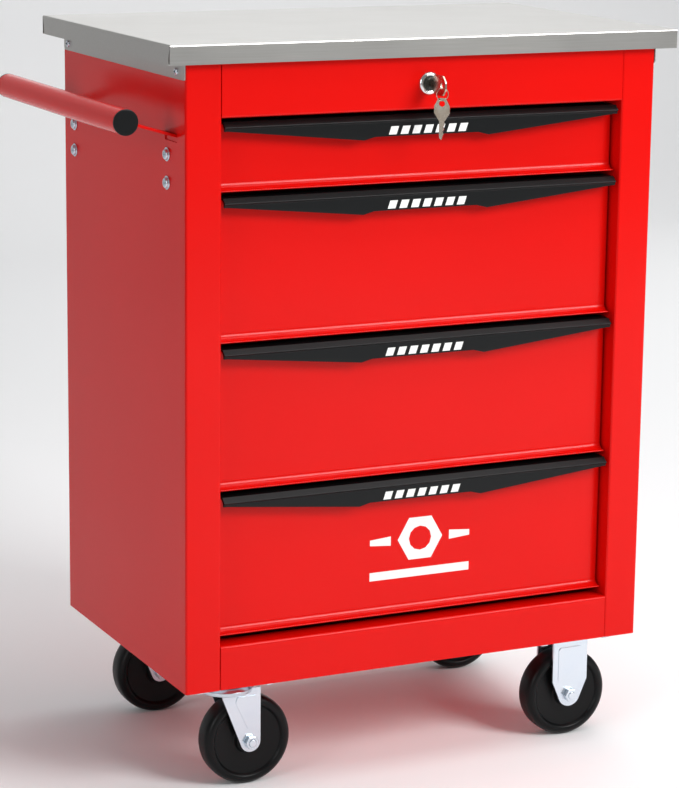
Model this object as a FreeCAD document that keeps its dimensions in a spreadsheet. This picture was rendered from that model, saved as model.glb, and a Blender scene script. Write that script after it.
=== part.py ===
import FreeCAD, Part
import math
import os
from collections import namedtuple
from types import SimpleNamespace

import Sketcher

# Rolling tool box: a sheet-steel cabinet with four drawers on slides, a stainless worktop, a push
# handle on the left side, a key lock that bars the drawers, two swivel and two rigid casters.
#
# Cabinet axes: X across the front (left is negative), Y from the front (negative) to the back,
# Z up from the bottom edge of the cabinet. Placements carry every piece from there into the
# part's frame, whose origin is on the floor under the middle of the whole outline.

os.makedirs("parts", exist_ok=True)
doc = FreeCAD.newDocument("RollingToolBox")

# ---------------------------------------------------------------- driving dimensions

DRIVING = {
    # cabinet shell
    "cabinet_width": 525.0,
    "cabinet_depth": 340.0,
    "lip_base": 633.0,
    "sheet": 1.2,
    "fold": 2.5,
    "stile_width": 38.0,
    "stile_return": 36.0,
    "bottom_rail_height": 46.0,
    "opening_top": 579.5,
    "flange": 16.0,
    "pan_upstand": 20.0,
    "post_depth": 46.0,
    "rail_depth": 26.0,
    "rail_hem": 9.0,
    "rib_height": 18.0,
    "rib_spacing": 228.0,
    # worktop
    "worktop_side": 20.0,
    "worktop_front": 10.0,
    "worktop_lip": 19.5,
    "worktop_sheet": 1.0,
    "worktop_round": 1.6,
    "tab_drop": 16.0,
    "tab_inset": 4.0,
    "tab_screw_drop": 8.8,
    "tab_screw_front": 20.4,
    "tab_screw_back": 17.0,
    "tab_screw_radius": 2.0,
    "tab_screw_head": 3.8,
    "tab_screw_dome": 2.2,
    "tab_screw_length": 9.0,
    # drawer fronts, trims and trays
    "front_gap": 5.5,
    "small_front": 69.0,
    "large_front": 145.0,
    "top_gap": 4.5,
    "side_gap": 2.5,
    "face_recess": 17.6,
    "lip_curve": 7.5,
    "lip_round": 0.7,
    "front_flange": 8.0,
    "trim_ridge_drop": 5.0,
    "trim_bevel": 6.0,
    "trim_wall": 2.2,
    "apron_setback": 2.0,
    "apron_end": 4.0,
    "apron_deep": 19.0,
    "apron_mid": 16.0,
    "notch_outer": 70.0,
    "notch_inner": 58.0,
    "trim_end_gap": 1.0,
    "slide_space": 12.5,
    "tray_wall": 1.0,
    "tray_back": 140.0,
    "tray_lift": 6.0,
    "small_tray": 48.0,
    "large_tray": 116.0,
    "catch_half": 10.0,
    "catch_reach": 10.0,
    "catch_drop": 8.0,
    "rail_height": 35.0,
    "runner_height": 23.0,
    "slide_sheet": 1.2,
    "slide_depth": 9.0,
    "slide_hook": 3.6,
    "slide_lift": 16.0,
    # handle
    "handle_offset": 62.0,
    "handle_height": 580.0,
    "handle_length": 346.0,
    "handle_radius": 12.7,
    "handle_wall": 1.5,
    "bracket_bar": 3.0,
    "cap_rim": 3.0,
    "cap_stub": 14.0,
    "arm_setback": 22.5,
    "arm_width": 30.0,
    "arm_drop": 18.6,
    "slot_low": 555.0,
    "slot_high": 563.6,
    "slot_clearance": 0.5,
    "front_bolt_setback": 46.0,
    "rear_bolt_setback": 33.0,
    "bolt_high": 541.0,
    "bolt_low": 513.0,
    "bolt_radius": 3.0,
    "bolt_hole": 3.3,
    "bolt_hex": 5.8,
    "bolt_flange": 7.0,
    "bolt_dome": 5.4,
    "dome_height": 2.6,
    # lock
    "lock_height": 605.7,
    "bezel_radius": 11.5,
    "barrel_radius": 9.5,
    "plug_radius": 6.0,
    "barrel_length": 24.0,
    "bow_reach": 36.0,
    "bow_half": 10.0,
    "blade_half": 3.4,
    "key_hole": 3.0,
    "key_sheet": 2.0,
    "shaft_radius": 4.0,
    "crank_radius": 7.5,
    "bar_half": 12.0,
    "bar_sheet": 1.6,
    "hook_drop": 12.8,
    "hook_height": 13.0,
    "ring_radius": 6.2,
    "wire_radius": 0.6,
    # casters
    "floor_gap": 118.0,
    "wheel_radius": 48.0,
    "wheel_width": 27.0,
    "caster_x": 200.0,
    "caster_inset": 46.0,
    "trail": 21.0,
    "plate_x": 92.0,
    "plate_y": 60.0,
    "plate_sheet": 2.5,
    "bolt_pitch_x": 76.2,
    "bolt_pitch_y": 44.4,
    "caster_bolt": 4.0,
    "caster_hole": 4.2,
    "caster_hex": 7.0,
    "race_radius": 25.0,
    "race_drop": 8.0,
    "kingpin_hole": 4.1,
    "crown_radius": 30.0,
    "crown_drop": 16.0,
    "axle_radius": 4.0,
    "axle_hex": 7.5,
    "fork_gap": 31.0,
    "rigid_ear_half": 21.2,
    "press_height": 0.8,
}

sheet = doc.addObject("Spreadsheet::Sheet", "Sizes")
for row, (alias, value) in enumerate(DRIVING.items(), start=1):
    sheet.set(f"A{row}", alias)
    sheet.set(f"B{row}", str(value))
    sheet.setAlias(f"B{row}", alias)
doc.recompute()


def number(size):
    return size.value if isinstance(size, Size) else float(size)


def words(size):
    return size.text if isinstance(size, Size) else f"({float(size)!r})"


class Size:
    """A length: its value in millimetres, and the sheet expression that gives it."""

    def __init__(self, value, text):
        self.value = value
        self.text = text

    def __add__(self, other):
        return Size(self.value + number(other), f"({self.text} + {words(other)})")

    def __radd__(self, other):
        return self + other

    def __sub__(self, other):
        return Size(self.value - number(other), f"({self.text} - {words(other)})")

    def __rsub__(self, other):
        return Size(number(other) - self.value, f"({words(other)} - {self.text})")

    def __mul__(self, other):
        return Size(self.value * number(other), f"({self.text} * {words(other)})")

    def __rmul__(self, other):
        return self * other

    def __truediv__(self, other):
        return Size(self.value / number(other), f"({self.text} / {words(other)})")

    def __neg__(self):
        return Size(-self.value, f"(0 - {self.text})")


s = SimpleNamespace(**{alias: Size(value, f"Sizes.{alias}") for alias, value in DRIVING.items()})

# Planes and edges that several pieces share.
half_width = s.cabinet_width / 2
front = -s.cabinet_depth / 2
back = s.cabinet_depth / 2
shell_top = s.lip_base + s.worktop_sheet
opening_half = half_width - s.stile_width
face = front + s.face_recess
panel_back = back - s.sheet
inner_back = back - s.sheet * 2
handle_x = -half_width - s.handle_offset
wheel_z = s.wheel_radius - s.floor_gap
caster_y = back - s.caster_inset
rail_back = front + s.rail_depth
bar_y = s.tray_back + s.catch_reach + 5.0
tab_screws = [(front + s.tab_screw_front, s.lip_base - s.tab_screw_drop),
              (back - s.tab_screw_back, s.lip_base - s.tab_screw_drop)]

# A cutting sketch starts this far clear of the face that it cuts.
CLEAR = 1.0

# The part's frame: the outline's middle on the floor. The handle reaches furthest left, the
# worktop furthest right and back, and the key's bow furthest forward.
frame_x = (s.handle_offset + s.handle_radius - s.worktop_side) / 2
frame_y = (s.bow_reach - s.worktop_front) / 2
frame_z = s.floor_gap

sub_parts = []

# ---------------------------------------------------------------- modelling steps

Round = namedtuple("Round", "x y radius")
ROLES = {"XY": "XY_Plane", "XZ": "XZ_Plane", "YZ": "YZ_Plane"}


def bind(item, name, size):
    item.setExpression(name, words(size))


def place(item, x=0.0, y=0.0, z=0.0):
    """Put a piece at a point of the cabinet's axes, in the part's frame."""
    bind(item, "Placement.Base.x", frame_x + x)
    bind(item, "Placement.Base.y", frame_y + y)
    bind(item, "Placement.Base.z", frame_z + z)


def sub_part(item, label, x=0.0, y=0.0, z=0.0):
    item.Label = label
    place(item, x, y, z)
    sub_parts.append(item)
    return item


def new_body(label, x=0.0, y=0.0, z=0.0):
    return sub_part(doc.addObject("PartDesign::Body", label), label, x, y, z)


def new_sketch(body, plane, at=0.0):
    """A sketch on one of the body's origin planes, moved along the third axis to 'at'."""
    drawing = body.newObject("Sketcher::SketchObject", "Sketch")
    support = [item for item in body.Origin.OriginFeatures if item.Role == ROLES[plane]][0]
    drawing.AttachmentSupport = [(support, "")]
    drawing.MapMode = "FlatFace"
    # The XZ plane's normal points to the front, along -Y.
    bind(drawing, "AttachmentOffset.Base.z", 0.0 - at if plane == "XZ" else at)
    return drawing


def fix_point(drawing, item, point, x, y):
    for axis, size in (("DistanceX", x), ("DistanceY", y)):
        rule = drawing.addConstraint(Sketcher.Constraint(axis, -1, 1, item, point, number(size)))
        bind(drawing, f"Constraints[{rule}]", size)


def fix_radius(drawing, item, size):
    rule = drawing.addConstraint(Sketcher.Constraint("Radius", item, number(size)))
    bind(drawing, f"Constraints[{rule}]", size)


def run_ends(first, second):
    """Ends of the straight run that is tangent to two circles (x, y, radius), going round to the left."""
    across = second[0] - first[0]
    up = second[1] - first[1]
    turn = math.asin((first[2] - second[2]) / math.hypot(across, up))
    heading = math.atan2(up, across) + turn
    side = (math.sin(heading), -math.cos(heading))
    return [(c[0] + c[2] * side[0], c[1] + c[2] * side[1]) for c in (first, second)]


def outline(drawing, corners):
    """Closed outline, going round to the left.

    A corner is (x, y) when sharp and (x, y, radius) when filleted. A Round is an arc about its own
    centre that both neighbouring runs touch.
    """
    count = len(corners)
    circles = []
    for corner in corners:
        radius = number(corner.radius) if isinstance(corner, Round) else 0.0
        circles.append((number(corner[0]), number(corner[1]), radius))
    runs = [run_ends(circles[i], circles[(i + 1) % count]) for i in range(count)]
    arcs = {}
    for i, corner in enumerate(corners):
        if len(corner) == 2:
            continue
        before, after = runs[i - 1], runs[i]
        headings = [math.atan2(run[1][1] - run[0][1], run[1][0] - run[0][0]) for run in (before, after)]
        turn = (headings[1] - headings[0] + math.pi) % (2 * math.pi) - math.pi
        radius = abs(number(corner[2]))
        if isinstance(corner, Round):
            side = math.copysign(1.0, number(corner.radius))
        else:
            side = math.copysign(1.0, turn)
            trim = radius * math.tan(abs(turn) / 2)
            before[1] = tuple(before[1][k] - trim * (math.cos, math.sin)[k](headings[0]) for k in (0, 1))
            after[0] = tuple(after[0][k] + trim * (math.cos, math.sin)[k](headings[1]) for k in (0, 1))
        centre = (before[1][0] - side * radius * math.sin(headings[0]),
                  before[1][1] + side * radius * math.cos(headings[0]))
        angles = [math.atan2(p[1] - centre[1], p[0] - centre[0]) for p in (before[1], after[0])]
        arcs[i] = (centre, radius, angles if side > 0 else angles[::-1], side)
    lines = [drawing.addGeometry(Part.LineSegment(FreeCAD.Vector(*run[0]), FreeCAD.Vector(*run[1])))
             for run in runs]
    for i, corner in enumerate(corners):
        if i not in arcs:
            drawing.addConstraint(Sketcher.Constraint("Coincident", lines[i - 1], 2, lines[i], 1))
            fix_point(drawing, lines[i], 1, *corner)
            continue
        centre, radius, angles, side = arcs[i]
        circle = Part.Circle(FreeCAD.Vector(*centre), FreeCAD.Vector(0, 0, 1), radius)
        arc = drawing.addGeometry(Part.ArcOfCircle(circle, *angles))
        entry, leave = (1, 2) if side > 0 else (2, 1)
        drawing.addConstraint(Sketcher.Constraint("Tangent", lines[i - 1], 2, arc, entry))
        drawing.addConstraint(Sketcher.Constraint("Tangent", arc, leave, lines[i], 1))
        hollow = number(corner[2]) < 0
        fix_radius(drawing, arc, 0.0 - corner[2] if hollow else corner[2])
        if isinstance(corner, Round):
            fix_point(drawing, arc, 3, corner.x, corner.y)
            continue
        tip = drawing.addGeometry(Part.Point(FreeCAD.Vector(number(corner[0]), number(corner[1]))), True)
        drawing.addConstraint(Sketcher.Constraint("PointOnObject", tip, 1, lines[i - 1]))
        drawing.addConstraint(Sketcher.Constraint("PointOnObject", tip, 1, lines[i]))
        fix_point(drawing, tip, 1, corner[0], corner[1])


def rectangle(drawing, left, low, right, high):
    outline(drawing, [(left, low), (right, low), (right, high), (left, high)])


def circle(drawing, x, y, radius):
    centre = FreeCAD.Vector(number(x), number(y))
    item = drawing.addGeometry(Part.Circle(centre, FreeCAD.Vector(0, 0, 1), number(radius)))
    fix_point(drawing, item, 3, x, y)
    fix_radius(drawing, item, radius)


def pad(body, drawing, length):
    """Raise the sketch along the positive third axis."""
    feature = body.newObject("PartDesign::Pad", "Pad")
    feature.Profile = drawing
    bind(feature, "Length", length)
    feature.Reversed = "XZ" in drawing.AttachmentSupport[0][0].Role
    body.Tip = feature
    return feature


def pocket(body, drawing, depth):
    """Cut the sketch along the positive third axis."""
    feature = body.newObject("PartDesign::Pocket", "Pocket")
    feature.Profile = drawing
    bind(feature, "Length", depth)
    feature.Reversed = "XZ" not in drawing.AttachmentSupport[0][0].Role
    body.Tip = feature
    return feature


def pad_box(body, low, high):
    drawing = new_sketch(body, "XY", low[2])
    rectangle(drawing, low[0], low[1], high[0], high[1])
    return pad(body, drawing, high[2] - low[2])


def cut_box(body, low, high):
    drawing = new_sketch(body, "XY", low[2])
    rectangle(drawing, low[0], low[1], high[0], high[1])
    return pocket(body, drawing, high[2] - low[2])


def cut_holes(body, plane, at, depth, holes):
    """Round holes (x, y, radius) through a wall that starts at 'at' and is 'depth' thick."""
    drawing = new_sketch(body, plane, at)
    for x, y, radius in holes:
        circle(drawing, x, y, radius)
    return pocket(body, drawing, depth)


def revolve(body, drawing, axis_role):
    feature = body.newObject("PartDesign::Revolution", "Revolution")
    feature.Profile = drawing
    axis = [item for item in body.Origin.OriginFeatures if item.Role == axis_role][0]
    feature.ReferenceAxis = (axis, [""])
    feature.Angle = 360
    body.Tip = feature
    return feature


def fillet(body, feature, radius, chosen):
    """Round the edges of the feature whose middle points pass the test."""
    doc.recompute()
    names = []
    for index, edge in enumerate(feature.Shape.Edges, start=1):
        if chosen(edge.BoundBox.Center):
            names.append(f"Edge{index}")
    rounded = body.newObject("PartDesign::Fillet", "Fillet")
    rounded.Base = (feature, names)
    bind(rounded, "Radius", radius)
    body.Tip = rounded
    return rounded


TURNS = {
    "X": FreeCAD.Rotation(FreeCAD.Vector(0, 1, 0), 90),
    "Y": FreeCAD.Rotation(FreeCAD.Vector(1, 0, 0), -90),
    "Z": FreeCAD.Rotation(),
}


def stand(item, axis, x, y, z):
    """Turn a primitive's length onto an axis and put its foot at x, y, z."""
    item.Placement = FreeCAD.Placement(FreeCAD.Vector(), TURNS[axis])
    for name, size in (("x", x), ("y", y), ("z", z)):
        bind(item, f"Placement.Base.{name}", size)
    return item


def cylinder(axis, x, y, z, radius, length):
    item = doc.addObject("Part::Cylinder", "Cylinder")
    bind(item, "Radius", radius)
    bind(item, "Height", length)
    return stand(item, axis, x, y, z)


def hexagon(axis, x, y, z, across_corners, length):
    item = doc.addObject("Part::Prism", "Prism")
    item.Polygon = 6
    bind(item, "Circumradius", across_corners)
    bind(item, "Height", length)
    return stand(item, axis, x, y, z)


def fuse(*items):
    joined = doc.addObject("Part::MultiFuse", "Fusion")
    joined.Shapes = list(items)
    return joined


def less(base, tool):
    rest = doc.addObject("Part::Cut", "Cut")
    rest.Base = base
    rest.Tool = tool
    return rest


def group(label, items):
    """Separate solids that share one node."""
    together = doc.addObject("Part::Compound", label)
    together.Links = items
    return sub_part(together, label)


def mirrored(corners):
    return [Round(-c.x, c.y, c.radius) if isinstance(c, Round) else (-c[0],) + tuple(c[1:])
            for c in reversed(corners)]


# ---------------------------------------------------------------- cabinet shell

def side_panel(label, side):
    """One sheet: side wall, front stile with its return beside the drawers, rear and top flanges."""
    outer = -half_width
    edge = -opening_half
    corners = [
        (outer, back, s.fold),
        (outer, front, s.fold),
        (edge, front, s.fold),
        (edge, front + s.stile_return),
        (edge - s.sheet, front + s.stile_return),
        (edge - s.sheet, front + s.sheet, s.fold - s.sheet),
        (outer + s.sheet, front + s.sheet, s.fold - s.sheet),
        (outer + s.sheet, panel_back, s.fold - s.sheet),
        (outer + s.flange, panel_back),
        (outer + s.flange, back),
    ]
    body = new_body(label)
    plan = new_sketch(body, "XY")
    outline(plan, corners if side < 0 else mirrored(corners))
    pad(body, plan, shell_top)
    low_x = outer + s.sheet if side < 0 else half_width - s.flange
    pad_box(body, (low_x, front + s.stile_return, shell_top - s.sheet),
            (low_x + s.flange - s.sheet, panel_back, shell_top))
    # The return stops above the cabinet's floor.
    notch_x = edge - s.sheet if side < 0 else opening_half
    cut_box(body, (notch_x, front + s.sheet, -CLEAR), (notch_x + s.sheet, front + s.stile_return, s.sheet))
    wall_x = outer if side < 0 else half_width - s.sheet
    cut_tab_holes(body, wall_x, s.sheet)
    return body


def cut_tab_holes(body, wall_x, thickness):
    """The holes of the screws that hold the worktop's tab to the side panel."""
    holes = [(y, z, s.tab_screw_radius + 0.1) for y, z in tab_screws]
    cut_holes(body, "YZ", wall_x - CLEAR, thickness + CLEAR * 2, holes)


left_side = side_panel("left_side_panel", -1)
side_panel("right_side_panel", 1)

# The handle's arms enter the left wall through two slots, over their bolts.
arm_front = front + s.arm_setback
front_bolts_y = front + s.front_bolt_setback
rear_bolts_y = back - s.rear_bolt_setback
arm_rear = rear_bolts_y + (front_bolts_y - arm_front) - s.arm_width
slots = new_sketch(left_side, "YZ", -half_width - CLEAR)
for slot_y in (arm_front, arm_rear):
    rectangle(slots, slot_y - s.slot_clearance, s.slot_low,
              slot_y + s.arm_width + s.slot_clearance, s.slot_high)
pocket(left_side, slots, s.sheet + CLEAR * 2)
cut_holes(left_side, "YZ", -half_width - CLEAR, s.sheet + CLEAR * 2,
          [(y, z, s.bolt_hole) for y in (front_bolts_y, rear_bolts_y) for z in (s.bolt_high, s.bolt_low)])

back_panel = new_body("back_panel")
panel_half = half_width - s.sheet - s.fold
pad_box(back_panel, (-panel_half, inner_back, s.sheet), (panel_half, panel_back, shell_top - s.sheet))
# Two shallow stiffening ribs are pressed outwards across the back.
for rib_z in ((s.lip_base - s.rib_spacing) / 2, (s.lip_base + s.rib_spacing) / 2):
    pad_box(back_panel, (-opening_half, panel_back, rib_z - s.rib_height / 2),
            (opening_half, back - 0.2, rib_z + s.rib_height / 2))

# The floor is a pan whose upstands are welded inside the shell.
bottom_panel = new_body("bottom_panel")
pan_half = half_width - s.sheet
pan_front = front + s.sheet + s.fold
pad_box(bottom_panel, (-pan_half, pan_front, 0.0), (pan_half, inner_back, s.sheet))
pad_box(bottom_panel, (-opening_half, front + s.sheet, 0.0), (opening_half, pan_front, s.sheet))
pad_box(bottom_panel, (-opening_half, front + s.sheet, s.sheet),
        (opening_half, front + s.sheet * 2, s.pan_upstand))
pad_box(bottom_panel, (-pan_half, inner_back - s.sheet, s.sheet), (pan_half, inner_back, s.pan_upstand))
for upstand_x in (s.sheet - half_width, half_width - s.sheet * 2):
    pad_box(bottom_panel, (upstand_x, front + s.stile_return, s.sheet),
            (upstand_x + s.sheet, inner_back - s.sheet, s.pan_upstand))

caster_places = [(x, y) for x in (-s.caster_x, s.caster_x) for y in (-caster_y, caster_y)]
bolt_places = [(x + s.bolt_pitch_x * (i - 0.5), y + s.bolt_pitch_y * (j - 0.5))
               for x, y in caster_places for i in (0, 1) for j in (0, 1)]
cut_holes(bottom_panel, "XY", -CLEAR, s.sheet + CLEAR * 2, [(x, y, s.caster_hole) for x, y in bolt_places])

top_rail = new_body("top_rail")
section = new_sketch(top_rail, "YZ", -opening_half)
outline(section, [
    (front, shell_top, s.fold),
    (front, s.opening_top, s.fold),
    (rail_back, s.opening_top),
    (rail_back, s.opening_top + s.sheet),
    (front + s.sheet, s.opening_top + s.sheet, s.fold - s.sheet),
    (front + s.sheet, shell_top - s.sheet, s.fold - s.sheet),
    (rail_back, shell_top - s.sheet),
    (rail_back, shell_top),
])
pad(top_rail, section, opening_half * 2)
lock_hole = (0.0, s.lock_height, s.barrel_radius + 0.1)
cut_holes(top_rail, "XZ", front - CLEAR, s.sheet + CLEAR * 2, [lock_hole])

bottom_rail = new_body("bottom_rail")
section = new_sketch(bottom_rail, "YZ", -opening_half)
outline(section, [
    (front, 0.0),
    (front + s.sheet, 0.0),
    (front + s.sheet, s.bottom_rail_height - s.sheet, s.fold - s.sheet),
    (rail_back, s.bottom_rail_height - s.sheet, s.fold - s.sheet),
    (rail_back, s.bottom_rail_height - s.rail_hem),
    (rail_back + s.sheet, s.bottom_rail_height - s.rail_hem),
    (rail_back + s.sheet, s.bottom_rail_height, s.fold),
    (front, s.bottom_rail_height, s.fold),
])
pad(bottom_rail, section, opening_half * 2)

# Two posts in the rear corners carry the back ends of the slides.
post_front = inner_back - s.sheet - s.post_depth
post_corners = [
    (-opening_half - s.sheet, post_front),
    (-opening_half, post_front),
    (-opening_half, inner_back - s.sheet, s.fold),
    (s.sheet * 2 - half_width, inner_back - s.sheet),
    (s.sheet * 2 - half_width, inner_back - s.sheet * 2),
    (-opening_half - s.sheet, inner_back - s.sheet * 2, s.fold - s.sheet),
]
posts = []
for side in (-1, 1):
    post = doc.addObject("PartDesign::Body", "Post")
    plan = new_sketch(post, "XY", s.sheet)
    outline(plan, post_corners if side < 0 else mirrored(post_corners))
    pad(post, plan, shell_top - s.sheet * 2)
    posts.append(post)
group("rear_posts", posts)

# ---------------------------------------------------------------- worktop

top_x = half_width + s.worktop_side
top_y = back + s.worktop_front
worktop_top = s.lip_base + s.worktop_lip

worktop = new_body("worktop")
slab = pad_box(worktop, (-top_x, -top_y, s.lip_base), (top_x, top_y, worktop_top))
fillet(worktop, slab, s.worktop_round, lambda middle: middle.z > number(worktop_top) - 0.01)
cut_box(worktop, (-half_width, front - 0.3, s.lip_base - CLEAR), (half_width, back + 0.3, shell_top))
cut_box(worktop, (s.worktop_sheet - top_x, s.worktop_sheet - top_y, shell_top),
        (top_x - s.worktop_sheet, top_y - s.worktop_sheet, worktop_top - s.worktop_sheet))
for tab_x in (-half_width - s.worktop_sheet, half_width):
    pad_box(worktop, (tab_x, front + 0.2, s.lip_base - s.tab_drop),
            (tab_x + s.worktop_sheet, back - s.tab_inset, shell_top))
    cut_tab_holes(worktop, tab_x, s.worktop_sheet)

core = new_body("worktop_core")
pad_box(core, (s.worktop_sheet * 2 - top_x, s.worktop_sheet * 2 - top_y, shell_top),
        (top_x - s.worktop_sheet * 2, top_y - s.worktop_sheet * 2, worktop_top - s.worktop_sheet))

outside = half_width + s.worktop_sheet
screws = []
for y, z in tab_screws:
    for head_x, shank_x in ((-outside - s.tab_screw_dome, -outside), (outside, outside - s.tab_screw_length)):
        head = cylinder("X", head_x, y, z, s.tab_screw_head, s.tab_screw_dome)
        shank = cylinder("X", shank_x, y, z, s.tab_screw_radius, s.tab_screw_length)
        screws.append(fuse(head, shank))
group("worktop_screws", screws)

# ---------------------------------------------------------------- push handle

tube_start = -s.handle_length / 2 + s.cap_rim
tube_end = s.handle_length / 2 - s.cap_rim
tube_length = tube_end - tube_start
tube_bore = s.handle_radius - s.handle_wall
sub_part(less(cylinder("Y", 0.0, 0.0, 0.0, s.handle_radius, tube_length),
              cylinder("Y", 0.0, -CLEAR, 0.0, tube_bore, tube_length + CLEAR * 2)),
         "handle_bar", handle_x, tube_start, s.handle_height)

caps = []
for rim_y, stub_y in ((tube_start - s.cap_rim, tube_start), (tube_end, tube_end - s.cap_stub)):
    rim = cylinder("Y", handle_x, rim_y, s.handle_height, s.handle_radius, s.cap_rim)
    stub = cylinder("Y", handle_x, stub_y, s.handle_height, tube_bore, s.cap_stub)
    caps.append(fuse(rim, stub))
group("handle_caps", caps)


def handle_bracket(label, arm_y, bolts_y):
    """A bent flat bar: the arm is welded to the tube, the leg is bolted inside the side panel."""
    wall = s.sheet - half_width
    slope = s.arm_drop / s.handle_offset
    half_bar = s.bracket_bar * 0.52
    leg_low = s.bolt_low - 16.0
    near = s.handle_height - (s.handle_offset + s.sheet) * slope
    far = s.handle_height - (s.handle_offset + s.sheet + s.bracket_bar) * slope
    body = new_body(label)
    side_view = new_sketch(body, "XZ", arm_y)
    outline(side_view, [
        (handle_x, s.handle_height - half_bar),
        (wall, near - half_bar),
        (wall, leg_low),
        (wall + s.bracket_bar, leg_low),
        (wall + s.bracket_bar, far + half_bar, 2.0),
        (handle_x, s.handle_height + half_bar),
    ])
    pad(body, side_view, s.arm_width)
    plate = new_sketch(body, "YZ", wall)
    plate_half = 22.0
    plate_high = s.bolt_high + 12.0
    outline(plate, [
        (bolts_y - plate_half, leg_low, 6.0),
        (bolts_y + plate_half, leg_low, 6.0),
        (bolts_y + plate_half, plate_high, 4.0),
        (bolts_y - plate_half, plate_high, 4.0),
    ])
    pad(body, plate, s.bracket_bar)
    weld = new_sketch(body, "XZ", arm_y - CLEAR)
    circle(weld, handle_x, s.handle_height, s.handle_radius)
    pocket(body, weld, s.arm_width + CLEAR * 2)
    cut_holes(body, "YZ", wall - CLEAR, s.bracket_bar + CLEAR * 2,
              [(bolts_y, z, s.bolt_hole) for z in (s.bolt_high, s.bolt_low)])


handle_bracket("front_handle_bracket", arm_front, front_bolts_y)
handle_bracket("rear_handle_bracket", arm_rear, rear_bolts_y)

flange_thickness = 1.5
nut_height = 5.0
nut_x = s.sheet - half_width + s.bracket_bar
fasteners = []
for y in (front_bolts_y, rear_bolts_y):
    for z in (s.bolt_high, s.bolt_low):
        flange_disc = cylinder("X", -half_width - flange_thickness, y, z, s.bolt_flange, flange_thickness)
        head = cylinder("X", -half_width - flange_thickness - s.dome_height, y, z, s.bolt_dome, s.dome_height)
        shank = cylinder("X", -half_width - flange_thickness, y, z, s.bolt_radius, 13.5)
        fasteners.append(fuse(flange_disc, head, shank))
        nut = hexagon("X", nut_x, y, z, s.bolt_hex, nut_height)
        thread = cylinder("X", nut_x - CLEAR, y, z, s.bolt_radius, nut_height + CLEAR * 2)
        fasteners.append(less(nut, thread))
group("handle_fasteners", fasteners)

# ---------------------------------------------------------------- casters

def plate_holes(body, thickness):
    holes = [(s.bolt_pitch_x * (i - 0.5), s.bolt_pitch_y * (j - 0.5), s.caster_hole)
             for i in (0, 1) for j in (0, 1)]
    cut_holes(body, "XY", -thickness - CLEAR, thickness + CLEAR * 2, holes)


def top_plate(body):
    drawing = new_sketch(body, "XY", -s.plate_sheet)
    outline(drawing, [(-s.plate_x / 2, -s.plate_y / 2, 6.0), (s.plate_x / 2, -s.plate_y / 2, 6.0),
                      (s.plate_x / 2, s.plate_y / 2, 6.0), (-s.plate_x / 2, s.plate_y / 2, 6.0)])
    pad(body, drawing, s.plate_sheet)


def swivel_plate(label, y):
    """Top plate with its pressed race cup, and the hole of the kingpin."""
    body = new_body(label, -s.caster_x, y, 0.0)
    top_plate(body)
    cup = new_sketch(body, "XZ", 0.0)
    outline(cup, [(s.kingpin_hole, -s.race_drop), (s.race_radius - 2.0, -s.race_drop, 1.5),
                  (s.race_radius, -s.plate_sheet), (s.kingpin_hole, -s.plate_sheet)])
    revolve(body, cup, "Z_Axis")
    cut_holes(body, "XY", -s.race_drop - CLEAR, s.race_drop + CLEAR * 2, [(0.0, 0.0, s.kingpin_hole)])
    plate_holes(body, s.plate_sheet)


ear_inner = s.fork_gap / 2
ear_outer = ear_inner + s.plate_sheet


def ears(body, axle_x, corners, panel):
    """Two upright ears across the wheel, each with a pressed panel that stands proud."""
    for low_y, panel_y in ((-ear_outer, -ear_outer - s.press_height), (ear_inner, ear_outer)):
        drawing = new_sketch(body, "XZ", low_y)
        outline(drawing, corners)
        pad(body, drawing, s.plate_sheet)
        drawing = new_sketch(body, "XZ", panel_y)
        outline(drawing, panel)
        pad(body, drawing, s.press_height)
    across = (ear_outer + s.press_height + CLEAR) * 2
    cut_holes(body, "XZ", -across / 2, across, [(axle_x, wheel_z, s.axle_radius)])


def swivel_fork(label, y):
    """The fork turns on the kingpin under the plate's race, and trails its wheel."""
    body = new_body(label, -s.caster_x, y, 0.0)
    crown = new_sketch(body, "XZ", 0.0)
    crown_top = -s.race_drop - 0.4
    outline(crown, [(s.kingpin_hole, -s.crown_drop), (s.crown_radius - 2.0, -s.crown_drop, 2.0),
                    (s.crown_radius, -11.5, 1.5), (s.crown_radius - 2.5, crown_top),
                    (s.kingpin_hole, crown_top)])
    revolve(body, crown, "Z_Axis")
    ear_round = 11.0
    ears(body, s.trail, [
        (-10.0, -12.0),
        (-10.0, -21.0, 6.0),
        Round(s.trail, wheel_z, ear_round),
        (s.trail + ear_round, -12.0),
    ], [
        (4.0, -26.0, 2.0),
        (s.trail - 3.0, wheel_z + 14.0, 2.0),
        (s.trail + 5.0, wheel_z + 14.0, 2.0),
        (s.trail + 7.0, -20.0, 2.0),
        (6.0, -20.0, 2.0),
    ])
    cut_holes(body, "XY", -s.crown_drop - CLEAR, s.crown_drop, [(0.0, 0.0, s.kingpin_hole)])


def rigid_fork(label, y):
    """One bent sheet: top plate, and two wide ears that taper to the axle."""
    body = new_body(label, s.caster_x, y, 0.0)
    top_plate(body)
    shoulder_z = -54.0
    panel_half = 14.5
    ears(body, 0.0, [
        (-s.rigid_ear_half, -s.plate_sheet),
        (-s.rigid_ear_half, shoulder_z, 3.0),
        Round(0.0, wheel_z, 13.3),
        (s.rigid_ear_half, shoulder_z, 3.0),
        (s.rigid_ear_half, -s.plate_sheet),
    ], [
        (-panel_half, shoulder_z - 1.0, 4.0),
        (panel_half, shoulder_z - 1.0, 4.0),
        (panel_half, -16.0, 4.0),
        (-panel_half, -16.0, 4.0),
    ])
    plate_holes(body, s.plate_sheet)


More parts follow.
